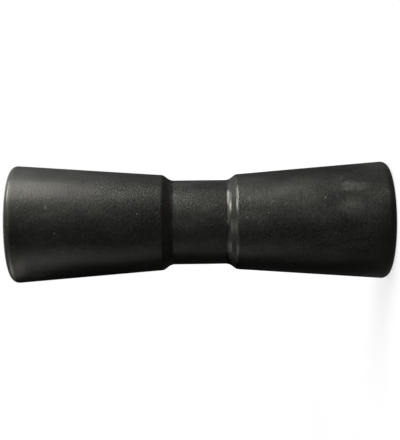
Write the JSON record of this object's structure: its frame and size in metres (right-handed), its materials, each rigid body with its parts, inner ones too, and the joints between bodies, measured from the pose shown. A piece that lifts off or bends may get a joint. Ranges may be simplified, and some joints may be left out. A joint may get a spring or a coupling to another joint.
{
  "type": "boat trailer roller",
  "caption": "Black rubber keel roller for a boat trailer: two cones that narrow in rounded steps to a plain waist, with a plain pin bore from end to end.",
  "frame": {"origin": "centre of the lower end face, on the roller's axis", "axes": "+Z along the roller's axis and up, from one end face to the other; the roller is round, so +X and +Y are any two directions square to it"},
  "size_m": [0.0622, 0.0622, 0.2],
  "materials": {
    "rubber": "satin black moulded rubber with a faint grey bloom"
  },
  "bodies": {
    "root": {"roller": "rubber"}
  },
  "joints": []
}
